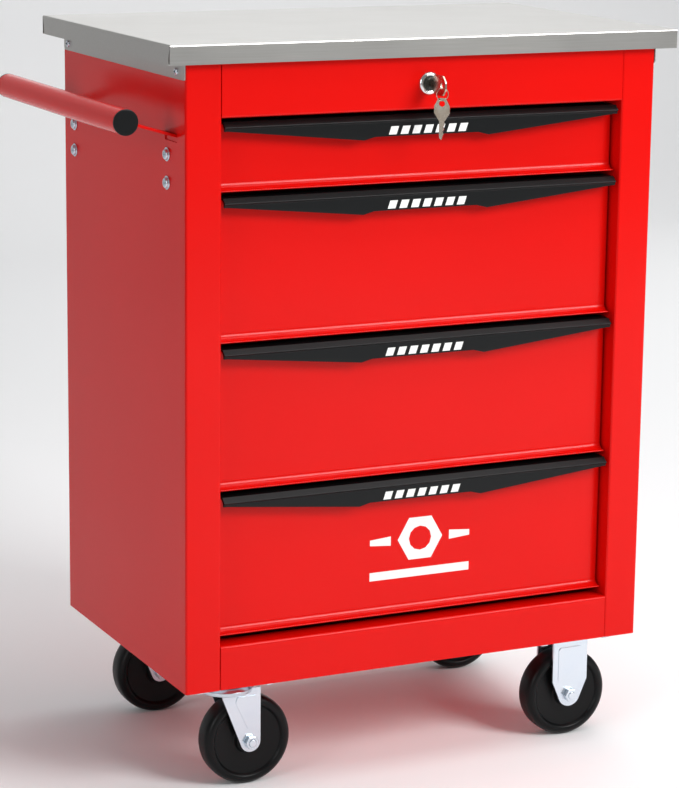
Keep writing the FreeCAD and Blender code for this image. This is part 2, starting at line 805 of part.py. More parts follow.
def axle(x, y):
    """Axle bolt with its head behind and its nut in front."""
    end = ear_outer + s.press_height
    nut_height = 5.0
    point = 1.0
    pin = cylinder("Y", x, y - end - nut_height - point, wheel_z, s.axle_radius, end * 2 + nut_height + point)
    head = hexagon("Y", x, y + end, wheel_z, s.axle_hex, 5.3)
    nut_y = y - end - nut_height
    nut = hexagon("Y", x, nut_y, wheel_z, s.axle_hex, nut_height)
    thread = cylinder("Y", x, nut_y - CLEAR, wheel_z, s.axle_radius, nut_height + CLEAR * 2)
    return [fuse(pin, head), less(nut, thread)]


def wheel(label, x, y):
    """Moulded wheel: tread, dished sides, hub and bore."""
    body = new_body(label, x, y, wheel_z)
    half = s.wheel_width / 2
    bore = s.axle_radius + 0.06
    section = new_sketch(body, "YZ", 0.0)
    outline(section, [
        (-half, bore),
        (half, bore),
        (half, 13.0, 1.0),
        (half - 5.5, 15.0, 1.5),
        (half - 4.0, s.wheel_radius - 10.0, 2.0),
        (half, s.wheel_radius - 8.5, 1.0),
        (half, s.wheel_radius, 4.5),
        (-half, s.wheel_radius, 4.5),
        (-half, s.wheel_radius - 8.5, 1.0),
        (4.0 - half, s.wheel_radius - 10.0, 2.0),
        (5.5 - half, 15.0, 1.5),
        (-half, 13.0, 1.0),
    ])
    revolve(body, section, "Y_Axis")


rigid_axles = []
for name, y in (("front", -caster_y), ("rear", caster_y)):
    swivel_plate(f"{name}_swivel_plate", y)
    swivel_fork(f"{name}_swivel_fork", y)
    group(f"{name}_swivel_axle", axle(s.trail - s.caster_x, y))
    wheel(f"{name}_left_wheel", s.trail - s.caster_x, y)
    rigid_fork(f"{name}_rigid_fork", y)
    wheel(f"{name}_right_wheel", s.caster_x, y)
    rigid_axles += axle(s.caster_x, y)
group("rigid_axles", rigid_axles)

kingpin_foot = -s.crown_drop - 0.4
kingpins = []
for y in (-caster_y, caster_y):
    pin = cylinder("Z", -s.caster_x, y, kingpin_foot, s.kingpin_hole - 0.1, -kingpin_foot - 0.1)
    head = cylinder("Z", -s.caster_x, y, kingpin_foot - 3.0, 8.0, 3.0)
    kingpins.append(fuse(pin, head))
group("swivel_kingpins", kingpins)

head_height = 5.0
caster_bolts = []
for x, y in bolt_places:
    head = hexagon("Z", x, y, -s.plate_sheet - head_height, s.caster_hex, head_height)
    shank = cylinder("Z", x, y, -s.plate_sheet - CLEAR, s.caster_bolt, 13.0)
    nut = hexagon("Z", x, y, s.sheet, s.caster_hex, nut_height)
    thread = cylinder("Z", x, y, 0.0, s.caster_bolt, nut_height + s.sheet + CLEAR)
    caster_bolts += [fuse(head, shank), less(nut, thread)]
group("caster_bolts", caster_bolts)

# ---------------------------------------------------------------- drawers and slides

front_half = opening_half - s.side_gap
tray_half = opening_half - s.slide_space
tray_front = face + s.sheet


def drawer_front(label, low, top):
    """Folded sheet: flat face, bottom edge flared into a rounded lip, flanges behind the edges."""
    flange_top = top - s.trim_wall
    flange_back = face + s.front_flange
    body = new_body(label)
    section = new_sketch(body, "YZ", -front_half)
    lip = face - s.lip_curve - 0.8
    outline(section, [
        Round(lip, low + s.lip_round, s.lip_round),
        (flange_back, low),
        (flange_back, low + s.sheet),
        (tray_front, low + s.sheet),
        (tray_front, flange_top - s.sheet),
        (flange_back, flange_top - s.sheet),
        (flange_back, flange_top),
        (face, flange_top, 1.5),
        Round(face - s.lip_curve, low + s.lip_round * 2 + s.lip_curve, -s.lip_curve),
    ])
    pad(body, section, front_half * 2)
    for x in (-front_half, front_half - s.sheet):
        pad_box(body, (x, tray_front, low + s.sheet), (x + s.sheet, flange_back, flange_top - s.sheet))


def trim(label, top):
    """Full-width pull: a ridge over a short apron whose lower edge is stepped in the middle."""
    ridge = top - s.trim_ridge_drop
    apron = front + s.apron_setback
    body = new_body(label)
    section = new_sketch(body, "YZ", s.trim_end_gap - front_half)
    outline(section, [
        (apron, ridge - s.apron_deep),
        (apron + s.trim_wall, ridge - s.apron_deep),
        (apron + s.trim_wall, ridge - 1.2),
        (front + s.trim_bevel + 1.4, top - s.trim_wall),
        (face + s.front_flange, top - s.trim_wall),
        (face + s.front_flange, top),
        (front + s.trim_bevel, top, 1.0),
        (front, ridge, 0.6),
        (apron, ridge - s.apron_setback),
    ])
    pad(body, section, (front_half - s.trim_end_gap) * 2)
    below = new_sketch(body, "XZ", front - CLEAR)
    end_x = front_half - 5.0
    beyond = front_half + 3.0
    apron_low = ridge - s.apron_deep
    outline(below, [
        (-beyond, apron_low - 3.0),
        (beyond, apron_low - 3.0),
        (beyond, ridge - s.apron_end),
        (end_x, ridge - s.apron_end),
        (s.notch_outer, apron_low),
        (s.notch_inner, ridge - s.apron_mid),
        (-s.notch_inner, ridge - s.apron_mid),
        (-s.notch_outer, apron_low),
        (-end_x, ridge - s.apron_end),
        (-beyond, ridge - s.apron_end),
    ])
    pocket(body, below, s.apron_setback + s.trim_wall + CLEAR * 2)


def tray(label, low, height):
    """Folded box, with a catch at the back for the lock bar's hook."""
    body = new_body(label)
    pad_box(body, (-tray_half, tray_front, low), (tray_half, s.tray_back, low + height))
    cut_box(body, (s.tray_wall - tray_half, tray_front + s.tray_wall, low + s.tray_wall),
            (tray_half - s.tray_wall, s.tray_back - s.tray_wall, low + height + CLEAR))
    catch = low + height - 2.0
    catch_back = s.tray_back + s.catch_reach
    pad_box(body, (-s.catch_half, s.tray_back, catch - s.sheet), (s.catch_half, catch_back, catch))
    pad_box(body, (-s.catch_half, catch_back - s.sheet, catch - s.catch_drop),
            (s.catch_half, catch_back, catch - s.sheet))
    return catch


def slide_profile(web, lip_side, height, hook):
    """Channel section: web, two flanges, and for the outer member two inturned hooks."""
    tip = web + lip_side * s.slide_depth
    inner = web + lip_side * s.slide_sheet
    half = height / 2
    if not hook:
        corners = [(web, -half), (tip, -half), (tip, s.slide_sheet - half), (inner, s.slide_sheet - half),
                   (inner, half - s.slide_sheet), (tip, half - s.slide_sheet), (tip, half), (web, half)]
    else:
        bend = tip - lip_side * s.slide_sheet
        corners = [(web, -half), (tip, -half), (tip, s.slide_hook - half), (bend, s.slide_hook - half),
                   (bend, s.slide_sheet - half), (inner, s.slide_sheet - half),
                   (inner, half - s.slide_sheet), (bend, half - s.slide_sheet),
                   (bend, half - s.slide_hook), (tip, half - s.slide_hook), (tip, half), (web, half)]
    return corners if lip_side > 0 else corners[::-1]


def channel_pair(label, corners, start, length, z):
    """The left and right members of one drawer's slides, as two solids."""
    pair = []
    for side in (-1, 1):
        member = doc.addObject("PartDesign::Body", "Member")
        profile = [(x, z + up) for x, up in corners]
        drawing = new_sketch(member, "XZ", start)
        outline(drawing, profile if side > 0 else mirrored(profile))
        pad(member, drawing, length)
        pair.append(member)
    group(label, pair)


rail_start = face + s.front_flange + 1.4
rail_length = s.tray_back + 12.0 - rail_start
runner_start = rail_start + 2.0
runner_length = s.tray_back - 1.0 - runner_start
rail_profile = slide_profile(opening_half, -1, s.rail_height, True)
runner_profile = slide_profile(tray_half, 1, s.runner_height, False)

top = s.opening_top - s.top_gap
catches = []
for count, (front_height, tray_height) in enumerate(
        [(s.small_front, s.small_tray)] + [(s.large_front, s.large_tray)] * 3, start=1):
    low = top - front_height
    drawer_front(f"drawer_front_{count}", low, top)
    trim(f"drawer_trim_{count}", top)
    catches.append(tray(f"drawer_tray_{count}", low + s.tray_lift, tray_height))
    slide_z = low + s.tray_lift + s.slide_lift
    channel_pair(f"slide_rails_{count}", rail_profile, rail_start, rail_length, slide_z)
    channel_pair(f"slide_runners_{count}", runner_profile, runner_start, runner_length, slide_z)
    top = low - s.front_gap

# ---------------------------------------------------------------- lock, key and lock bar

housing = new_body("lock_housing", 0.0, front, s.lock_height)
turned = new_sketch(housing, "YZ", 0.0)
outline(turned, [
    (-3.0, s.plug_radius),
    (s.barrel_length - 2.0, s.plug_radius),
    (s.barrel_length - 2.0, s.barrel_radius),
    (0.0, s.barrel_radius),
    (0.0, s.bezel_radius, 0.5),
    (-1.8, s.bezel_radius, 0.8),
    (-3.0, s.bezel_radius - 2.2),
])
revolve(housing, turned, "Y_Axis")

lock_nut = new_body("lock_nut", 0.0, front + s.sheet, s.lock_height)
ring = new_sketch(lock_nut, "XZ", 0.0)
circle(ring, 0.0, 0.0, s.barrel_radius + 4.5)
pad(lock_nut, ring, 3.5)
cut_holes(lock_nut, "XZ", -1.0, 6.0, [(0.0, 0.0, s.barrel_radius)])
for flat_x in (s.barrel_radius + 2.5, -s.barrel_radius - 8.5):
    cut_box(lock_nut, (flat_x, -1.0, -16.0), (flat_x + 6.0, 6.0, 16.0))

# The plug turns in the barrel and carries the long shaft that works the lock bar at the back.
plug = new_body("lock_plug", 0.0, front, s.lock_height)
turned = new_sketch(plug, "YZ", 0.0)
outline(turned, [
    (-2.6, 0.0),
    (s.barrel_length, 0.0),
    (s.barrel_length, s.plug_radius - 0.05),
    (-2.6, s.plug_radius - 0.05, 0.4),
])
revolve(plug, turned, "Y_Axis")
cut_box(plug, (-1.2, -4.0, -3.8), (1.2, s.barrel_length - 3.0, 3.8))

crank_y = bar_y - 4.4
shaft_start = s.barrel_length + front
pin_reach = s.crank_radius * math.sqrt(0.5)
shaft = fuse(
    cylinder("Y", 0.0, shaft_start, s.lock_height, s.shaft_radius, crank_y - shaft_start),
    cylinder("Y", 0.0, crank_y, s.lock_height, 6.0, 2.4),
    cylinder("Y", -pin_reach, crank_y, s.lock_height - pin_reach, 4.0, 2.4),
    cylinder("Y", -pin_reach, crank_y, s.lock_height - pin_reach, 2.0, 8.0),
)
sub_part(shaft, "lock_shaft")

lock_bar = new_body("lock_bar")
bar_low = catches[-1] - 30.0
pad_box(lock_bar, (-s.bar_half, bar_y, bar_low), (s.bar_half, bar_y + s.bar_sheet, s.lock_height + 6.0))
slot_z = s.lock_height - pin_reach
slot = new_sketch(lock_bar, "XZ", bar_y - CLEAR)
slot_left, slot_right, slot_half = -10.0, -2.8, 2.6
outline(slot, [(slot_left, slot_z - slot_half, 2.5), (slot_right, slot_z - slot_half, 2.5),
               (slot_right, slot_z + slot_half, 2.5), (slot_left, slot_z + slot_half, 2.5)])
pocket(lock_bar, slot, s.bar_sheet + CLEAR * 2)
hook_half = 8.0
hook_sheet = 1.5
hook_y = s.tray_back + 4.0
for catch in catches:
    tip = catch - s.hook_drop
    foot = tip - s.hook_height
    pad_box(lock_bar, (-hook_half, hook_y, foot), (hook_half, bar_y, foot + hook_sheet))
    pad_box(lock_bar, (-hook_half, hook_y, foot + hook_sheet), (hook_half, hook_y + hook_sheet, tip))

guide_half = 20.0
guide_leg = 20.0
guide_gap = 0.4
guides = []
for guide_z in (catches[1] - 80.0, catches[2] - 90.0):
    guide = doc.addObject("PartDesign::Body", "Guide")
    pad_box(guide, (-guide_half, bar_y - 4.0, guide_z), (guide_half, inner_back, guide_z + hook_sheet))
    pad_box(guide, (-guide_half, inner_back - hook_sheet, guide_z - guide_leg),
            (guide_half, inner_back, guide_z))
    cut_box(guide, (-s.bar_half - guide_gap, bar_y - guide_gap, guide_z - CLEAR),
            (s.bar_half + guide_gap, bar_y + s.bar_sheet + guide_gap, guide_z + hook_sheet + CLEAR))
    guides.append(guide)
group("lock_bar_guides", guides)

# The key lies in the plug with its bow upright, in a plane across the cabinet.
key = new_body("key", 0.0, front, s.lock_height)
bow_front = -s.bow_reach
bow_back = -13.0
key_tip = s.barrel_length - 4.0
blank = new_sketch(key, "YZ", -s.key_sheet / 2)
outline(blank, [
    (key_tip, -s.blade_half, 2.0),
    (key_tip, 0.5),
    (key_tip - 3.0, s.blade_half),
    (-4.0, s.blade_half),
    (-8.0, s.blade_half + 1.0),
    (bow_back, s.bow_half, 3.0),
    (bow_front + 6.0, s.bow_half, 4.0),
    (bow_front, 4.0, 4.0),
    (bow_front, -4.0, 4.0),
    (bow_front + 6.0, -s.bow_half, 4.0),
    (bow_back, -s.bow_half, 3.0),
    (-8.0, -s.blade_half - 1.0),
    (-4.0, -s.blade_half),
])
pad(key, blank, s.key_sheet)
hole_y = bow_front + 7.5
cut_holes(key, "YZ", -s.key_sheet, s.key_sheet * 2, [(hole_y, 0.0, s.key_hole)])

# The ring's wire rests in the key's hole, a little clear of its edge.
hang_z = s.lock_height - s.key_hole + s.wire_radius + 0.3
key_ring = doc.addObject("Part::Torus", "Torus")
bind(key_ring, "Radius1", s.ring_radius)
bind(key_ring, "Radius2", s.wire_radius)
key_ring.Placement = FreeCAD.Placement(FreeCAD.Vector(), TURNS["Y"])
sub_part(key_ring, "key_ring", 0.0, front + hole_y, hang_z - s.ring_radius)

# ---------------------------------------------------------------- checks and export

doc.recompute()
for item in doc.Objects:
    if {"Invalid", "Error"} & set(item.State):
        raise RuntimeError(f"{item.Label} failed: {item.State}")
for item in sub_parts:
    if item.Shape.isNull() or not item.Shape.isValid() or item.Shape.Volume <= 0:
        raise RuntimeError(f"{item.Label} has a bad shape")
for item in sub_parts:
    item.Shape.exportStep(f"parts/{item.Label}.step")
print(len(sub_parts), "sub-parts written")
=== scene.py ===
import math

import bmesh
import bpy
from mathutils import Matrix, Vector
from mathutils.bvhtree import BVHTree


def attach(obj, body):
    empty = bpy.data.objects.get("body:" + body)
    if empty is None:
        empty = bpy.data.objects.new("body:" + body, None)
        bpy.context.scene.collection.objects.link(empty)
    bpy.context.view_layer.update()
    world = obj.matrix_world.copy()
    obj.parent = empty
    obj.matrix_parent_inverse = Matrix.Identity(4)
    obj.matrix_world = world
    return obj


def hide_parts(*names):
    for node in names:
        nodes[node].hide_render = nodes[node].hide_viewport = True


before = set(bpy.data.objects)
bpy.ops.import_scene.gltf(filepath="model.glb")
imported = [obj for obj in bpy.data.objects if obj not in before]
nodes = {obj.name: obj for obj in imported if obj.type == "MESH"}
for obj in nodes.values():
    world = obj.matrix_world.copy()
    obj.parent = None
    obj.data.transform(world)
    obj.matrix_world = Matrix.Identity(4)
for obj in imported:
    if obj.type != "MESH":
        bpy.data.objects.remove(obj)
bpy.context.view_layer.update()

# ---------------------------------------------------------------- floor, light and camera
# The box stands on a pale seamless floor that sweeps up behind it, under soft studio light: a large
# key to the front right, a weak fill to the left, one overhead, one behind for the worktop to
# mirror, and one that washes the wall.


def linear(code):
    """An sRGB hex colour as linear RGBA."""
    parts = [int(code[i:i + 2], 16) / 255 for i in (1, 3, 5)]
    return (*[c / 12.92 if c <= 0.04045 else ((c + 0.055) / 1.055) ** 2.4 for c in parts], 1.0)


def add_node(tree, kind, sockets=None, **settings):
    """Add a shader node, give it its settings, and set or link its input sockets."""
    node = tree.nodes.new(kind)
    for name, value in settings.items():
        setattr(node, name, value)
    for name, value in (sockets or {}).items():
        if isinstance(value, bpy.types.NodeSocket):
            tree.links.new(value, node.inputs[name])
        else:
            node.inputs[name].default_value = value
    return node


def empty_material(name):
    """A new material with an empty node tree."""
    material = bpy.data.materials.new(name)
    material.use_nodes = True
    material.node_tree.nodes.clear()
    return material, material.node_tree


def finish_material(tree, **sockets):
    """The surface shader of a material and its output."""
    shader = add_node(tree, "ShaderNodeBsdfPrincipled", {k.replace("_", " "): v for k, v in sockets.items()})
    add_node(tree, "ShaderNodeOutputMaterial", {"Surface": shader.outputs[0]})


def new_piece(name, shape, material, smooth_below=30):
    """A finished shape as an object, smooth wherever its faces meet at less than an angle."""
    mesh = bpy.data.meshes.new(name)
    shape.to_mesh(mesh)
    shape.free()
    mesh.shade_smooth()
    mesh.set_sharp_from_angle(angle=math.radians(smooth_below))
    mesh.materials.append(material)
    piece = bpy.data.objects.new(name, mesh)
    bpy.context.scene.collection.objects.link(piece)
    flats = piece.modifiers.new("flat faces stay flat", "WEIGHTED_NORMAL")
    flats.keep_sharp = True
    return piece


# Seamless paper: even and matt, so it only catches the box's shadow.
seamless_paper, tree = empty_material("seamless_paper")
finish_material(tree, Base_Color=linear("#F8F8F8"), Roughness=0.9, Specular_IOR_Level=0.1)

sweep = bmesh.new()
front_y, bend_y, bend_radius, bend_steps, wall_height, half_width = -3.6, 3.0, 1.5, 8, 4.0, 4.5
profile = [(front_y, 0.0), (bend_y, 0.0)]
for step in range(1, bend_steps + 1):
    angle = math.pi / 2 * step / bend_steps
    profile.append((bend_y + bend_radius * math.sin(angle), bend_radius * (1 - math.cos(angle))))
profile.append((bend_y + bend_radius, wall_height))
rim = [sweep.verts.new((-half_width, y, z)) for y, z in profile]
edges = [sweep.edges.new(pair) for pair in zip(rim, rim[1:])]
made = bmesh.ops.extrude_edge_only(sweep, edges=edges)["geom"]
bmesh.ops.translate(sweep, verts=[v for v in made if isinstance(v, bmesh.types.BMVert)],
                     vec=(2 * half_width, 0, 0))
bmesh.ops.recalc_face_normals(sweep, faces=sweep.faces)
floor = new_piece("studio_floor", sweep, seamless_paper, 60)

world = bpy.data.worlds.new("studio")
bpy.context.scene.world = world
world.use_nodes = True
world.node_tree.nodes.clear()
sky = add_node(world.node_tree, "ShaderNodeBackground", {"Color": linear("#F4F6FA"), "Strength": 0.27})
add_node(world.node_tree, "ShaderNodeOutputWorld", {"Surface": sky.outputs[0]})


def soft_panel(name, place, target, size, power):
    """A rectangular light at a place, turned to face a target."""
    light = bpy.data.lights.new(name, "AREA")
    light.shape = "RECTANGLE"
    light.size, light.size_y = size
    light.energy = power
    panel = bpy.data.objects.new(name, light)
    panel.location = place
    panel.rotation_euler = (Vector(target) - Vector(place)).to_track_quat("-Z", "Y").to_euler()
    bpy.context.scene.collection.objects.link(panel)


soft_panel("key_panel", (1.5, -2.6, 2.1), (0.0, 0.0, 0.35), (1.4, 1.2), 84)
soft_panel("left_panel", (-2.6, -1.5, 1.3), (0.0, 0.0, 0.4), (0.9, 1.4), 17)
soft_panel("top_panel", (0.5, -0.1, 1.95), (0.4, -0.1, 0.0), (1.8, 1.4), 22)
soft_panel("rear_panel", (1.6, 3.2, 1.9), (0.1, 0.0, 0.77), (2.4, 1.6), 6)
soft_panel("wall_wash", (1.9, 1.4, 2.6), (2.4, 4.4, 0.4), (2.0, 1.0), 36)

azimuth, elevation, roll = (math.radians(a) for a in (-25.62, 12.56, 0.67))
aim, distance, focal_length = Vector((0.0306, 0.0486, 0.3634)), 3.0, 125.5
turn = (Matrix.Rotation(azimuth, 3, "Z")
        @ Matrix.Rotation(math.pi / 2 - elevation, 3, "X")
        @ Matrix.Rotation(roll, 3, "Z"))
lens = bpy.data.cameras.new("camera")
lens.lens = focal_length
camera = bpy.data.objects.new("camera", lens)
camera.matrix_world = Matrix.Translation(aim + turn @ Vector((0, 0, distance))) @ turn.to_4x4()
bpy.context.scene.collection.objects.link(camera)
bpy.context.scene.camera = camera
bpy.context.scene.view_settings.view_transform = "Standard"

# ---------------------------------------------------------------- cabinet shell
# Two folded side panels, each with its front stile, a back, a floor pan, a rail above and below
# the drawers and two rear posts: pressed sheet steel, spot welded, then coated and baked.


def fit(piece, body, slot, *replaced):
    """Fix a piece to its moving body and let it stand for its design solids; the slot is not used."""
    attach(piece, body)
    for node in replaced:
        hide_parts(node)


def eased_copy(name, node, material, body, slot, edge=0.0004):
    """A design solid as a visible piece, with its sharp edges eased as pressing or turning leaves them."""
    shape = bmesh.new()
    shape.from_mesh(nodes[node].data)
    bmesh.ops.remove_doubles(shape, verts=shape.verts, dist=1e-6)
    flat_below, sharp_above = math.radians(1), math.radians(35)
    bmesh.ops.dissolve_limit(shape, angle_limit=flat_below, verts=shape.verts, edges=shape.edges)
    sharp = [e for e in shape.edges if len(e.link_faces) == 2 and e.calc_face_angle(0) > sharp_above]
    bmesh.ops.bevel(shape, geom=sharp, offset=edge, segments=2, profile=0.5, affect="EDGES",
                    clamp_overlap=True, material=-1)
    bmesh.ops.triangulate(shape, faces=[f for f in shape.faces if len(f.verts) > 4])
    fit(new_piece(name, shape, material, 40), body, slot, node)


# Baked polyester enamel: a deep wet red over a fine orange peel of about 3 mm waves, so that what
# it mirrors is soft; the coat's thickness drifts, and the tone with it.
baked_enamel, tree = empty_material("baked_enamel")
place = add_node(tree, "ShaderNodeTexCoord").outputs["Object"]
drift = add_node(tree, "ShaderNodeTexNoise", {"Vector": place, "Scale": 5.0, "Detail": 2.0})
tone = add_node(tree, "ShaderNodeMix", {
    "Factor": drift.outputs["Fac"], "A": linear("#DE0D08"), "B": linear("#D20904")}, data_type="RGBA")
peel = add_node(tree, "ShaderNodeTexNoise", {"Vector": place, "Scale": 330.0, "Detail": 1.0})
bump = add_node(tree, "ShaderNodeBump", {"Height": peel.outputs["Fac"], "Strength": 0.08, "Distance": 0.0002})
gloss = add_node(tree, "ShaderNodeMapRange", {"Value": drift.outputs["Fac"], "To Min": 0.17, "To Max": 0.23})
finish_material(tree, Base_Color=tone.outputs["Result"], Roughness=gloss.outputs[0], Specular_IOR_Level=0.17,
                Normal=bump.outputs[0])

for node in ("left_side_panel", "right_side_panel", "back_panel", "bottom_panel", "top_rail", "bottom_rail",
             "rear_posts"):
    eased_copy(f"{node}_enamelled", node, baked_enamel, "root", "red_enamel")

# ---------------------------------------------------------------- worktop
# One sheet of stainless steel folded down and under all round over a board. Its front and back
# lips run the full width; each side lip tucks in behind them and leaves an open corner seam.


def extent(node):
    """The low and high corners of a design solid at rest."""
    points = [v.co for v in nodes[node].data.vertices]
    return [Vector(pick(p[i] for p in points) for i in range(3)) for pick in (min, max)]


def add_box(shape, low, high):
    """A closed box between two corners; gives its vertices."""
    low, high = Vector(low), Vector(high)
    verts = bmesh.ops.create_cube(shape, size=1.0)["verts"]
    bmesh.ops.scale(shape, verts=verts, vec=high - low)
    bmesh.ops.translate(shape, verts=verts, vec=(low + high) / 2)
    return verts


def edges_where(shape, test):
    """The edges whose two ends both pass the test."""
    return [e for e in shape.edges if all(test(v.co) for v in e.verts)]


top_low, top_high = extent("worktop")
shell_low = Vector((extent("left_side_panel")[0].x, extent("left_side_panel")[0].y, 0))
shell_high = Vector((extent("right_side_panel")[1].x, extent("right_side_panel")[1].y, 0))
lip_height = 0.0195
lip_low = top_high.z - lip_height
steel, fold, seam = 0.001, 0.0016, 0.004
touch = 1e-5


def at_corner(point):
    """Whether a point of the sheet stands at one of its four outer corners."""
    return (min(abs(point.x - top_low.x), abs(point.x - top_high.x)) < touch
            and min(abs(point.y - top_low.y), abs(point.y - top_high.y)) < touch)


shape = bmesh.new()
add_box(shape, (top_low.x, top_low.y, lip_low), top_high)
bmesh.ops.delete(shape, geom=[f for f in shape.faces if f.normal.z < -0.5], context="FACES_ONLY")
rims = edges_where(shape, lambda point: point.z > top_high.z - touch)
bmesh.ops.bevel(shape, geom=rims, offset=fold, segments=4, profile=0.5, affect="EDGES", material=-1)
corners = [e for e in shape.edges
           if abs(e.verts[0].co.z - e.verts[1].co.z) > lip_height / 2 and len(e.link_faces) == 2]
cuts = bmesh.ops.subdivide_edges(shape, edges=corners, cuts=5)["geom_inner"]
across = [e for e in cuts if isinstance(e, bmesh.types.BMEdge)
          and abs(e.verts[0].co.z - e.verts[1].co.z) < touch / 10]
bmesh.ops.dissolve_edges(shape, edges=across, use_verts=False)
corners = [e for e in edges_where(shape, at_corner) if len(e.link_faces) == 2]
bmesh.ops.split_edges(shape, edges=corners)

# Each side lip's ends draw in from the corner as they go down, which opens the seam.
middle_y = (top_low.y + top_high.y) / 2
for vert in shape.verts:
    down = (top_high.z - fold - vert.co.z) / (lip_height - fold)
    if down > 0.05 and vert.link_faces and all(abs(f.normal.x) > 0.9 for f in vert.link_faces):
        vert.co.y += math.copysign(seam * min(1.0, 1.5 * down) ** 0.7, middle_y - vert.co.y)

# Below each lip the sheet turns under and runs back to the cabinet's wall.
for axis, low, high in ((1, shell_low.y, shell_high.y), (0, shell_low.x, shell_high.x)):
    for side, stop in ((-1, low), (1, high)):
        hem = [e for e in edges_where(shape, lambda point: point.z < lip_low + touch)
               if len(e.link_faces) == 1 and e.link_faces[0].normal[axis] * side > 0.9]
        made = bmesh.ops.extrude_edge_only(shape, edges=hem)["geom"]
        for vert in (v for v in made if isinstance(v, bmesh.types.BMVert)):
            vert.co[axis] = stop
            other = 1 - axis
            vert.co[other] = min(max(vert.co[other], shell_low[other]), shell_high[other])
bmesh.ops.recalc_face_normals(shape, faces=shape.faces)
bmesh.ops.solidify(shape, geom=shape.faces[:], thickness=steel)

# A tongue behind each seam, part of the lip that is tucked in.
tongue_inset, tongue_ends, tongue_length = 0.0014, 0.0012, 0.008
for side_x, inward in ((top_low.x, 1), (top_high.x, -1)):
    for side_y, deeper in ((top_low.y, 1), (top_high.y, -1)):
        near = Vector((side_x + inward * tongue_inset, side_y + deeper * tongue_ends, lip_low + tongue_ends))
        far = Vector((side_x + inward * (tongue_inset + steel), side_y + deeper * tongue_length,
                      top_high.z - 2 * steel))
        add_box(shape, [min(a, b) for a, b in zip(near, far)], [max(a, b) for a, b in zip(near, far)])

# A tab hangs from each end of the sheet, down the cabinet's side, for the screws.
tab_front, tab_back, tab_round = shell_low.y + 0.0002, shell_high.y - 0.004, 0.002
for wall_x, out in ((shell_low.x, -1), (shell_high.x, 1)):
    tab = add_box(shape, (min(wall_x, wall_x + out * steel), tab_front, top_low.z),
                  (max(wall_x, wall_x + out * steel), tab_back, lip_low + steel))
    tips = [e for e in {e for v in tab for e in v.link_edges}
            if abs(e.verts[0].co.x - e.verts[1].co.x) > steel / 2 and e.verts[0].co.z < lip_low]
    bmesh.ops.bevel(shape, geom=tips, offset=tab_round, segments=3, profile=0.5, affect="EDGES", material=-1)

# Stainless brushed along the cabinet's width: grain about 1 mm apart across the stroke and tens
# of millimetres long, which draws each reflection out into a soft grey sheen.
brushed_stainless, tree = empty_material("brushed_stainless")
place = add_node(tree, "ShaderNodeTexCoord").outputs["Object"]
stroke = add_node(tree, "ShaderNodeMapping", {"Vector": place, "Scale": (14.0, 1000.0, 1000.0)})
grain = add_node(tree, "ShaderNodeTexNoise", {"Vector": stroke.outputs[0], "Scale": 1.0, "Detail": 3.0})
cloud = add_node(tree, "ShaderNodeTexNoise", {"Vector": place, "Scale": 9.0, "Detail": 2.0})
bump = add_node(tree, "ShaderNodeBump", {
    "Height": grain.outputs["Fac"], "Strength": 0.12, "Distance": 0.00005})
tone = add_node(tree, "ShaderNodeMix", {
    "Factor": grain.outputs["Fac"], "A": linear("#B0AEA8"), "B": linear("#C4C3C0")}, data_type="RGBA")
rough = add_node(tree, "ShaderNodeMapRange", {"Value": cloud.outputs["Fac"], "To Min": 0.26, "To Max": 0.36})
finish_material(tree, Base_Color=tone.outputs["Result"], Metallic=1.0, Roughness=rough.outputs[0],
                Normal=bump.outputs[0])
fit(new_piece("worktop_sheet", shape, brushed_stainless, 35), "root", "stainless", "worktop")

# Particle board: pressed chips of 2 to 4 mm in straw and brown, seen only from below.
particle_board, tree = empty_material("particle_board")
place = add_node(tree, "ShaderNodeTexCoord").outputs["Object"]
chips = add_node(tree, "ShaderNodeTexVoronoi", {"Vector": place, "Scale": 350.0})
tone = add_node(tree, "ShaderNodeMix", {
    "Factor": chips.outputs["Distance"], "A": linear("#B08E63"), "B": linear("#8A6A45")}, data_type="RGBA")
finish_material(tree, Base_Color=tone.outputs["Result"], Roughness=0.85)
eased_copy("worktop_board", "worktop_core", particle_board, "root", "particle_board", 0.0002)

# ---------------------------------------------------------------- worktop screws
# Four bought-in pan-head screws of zinc-plated steel with a cross recess. Two go through each tab
# of the worktop into the cabinet's side.


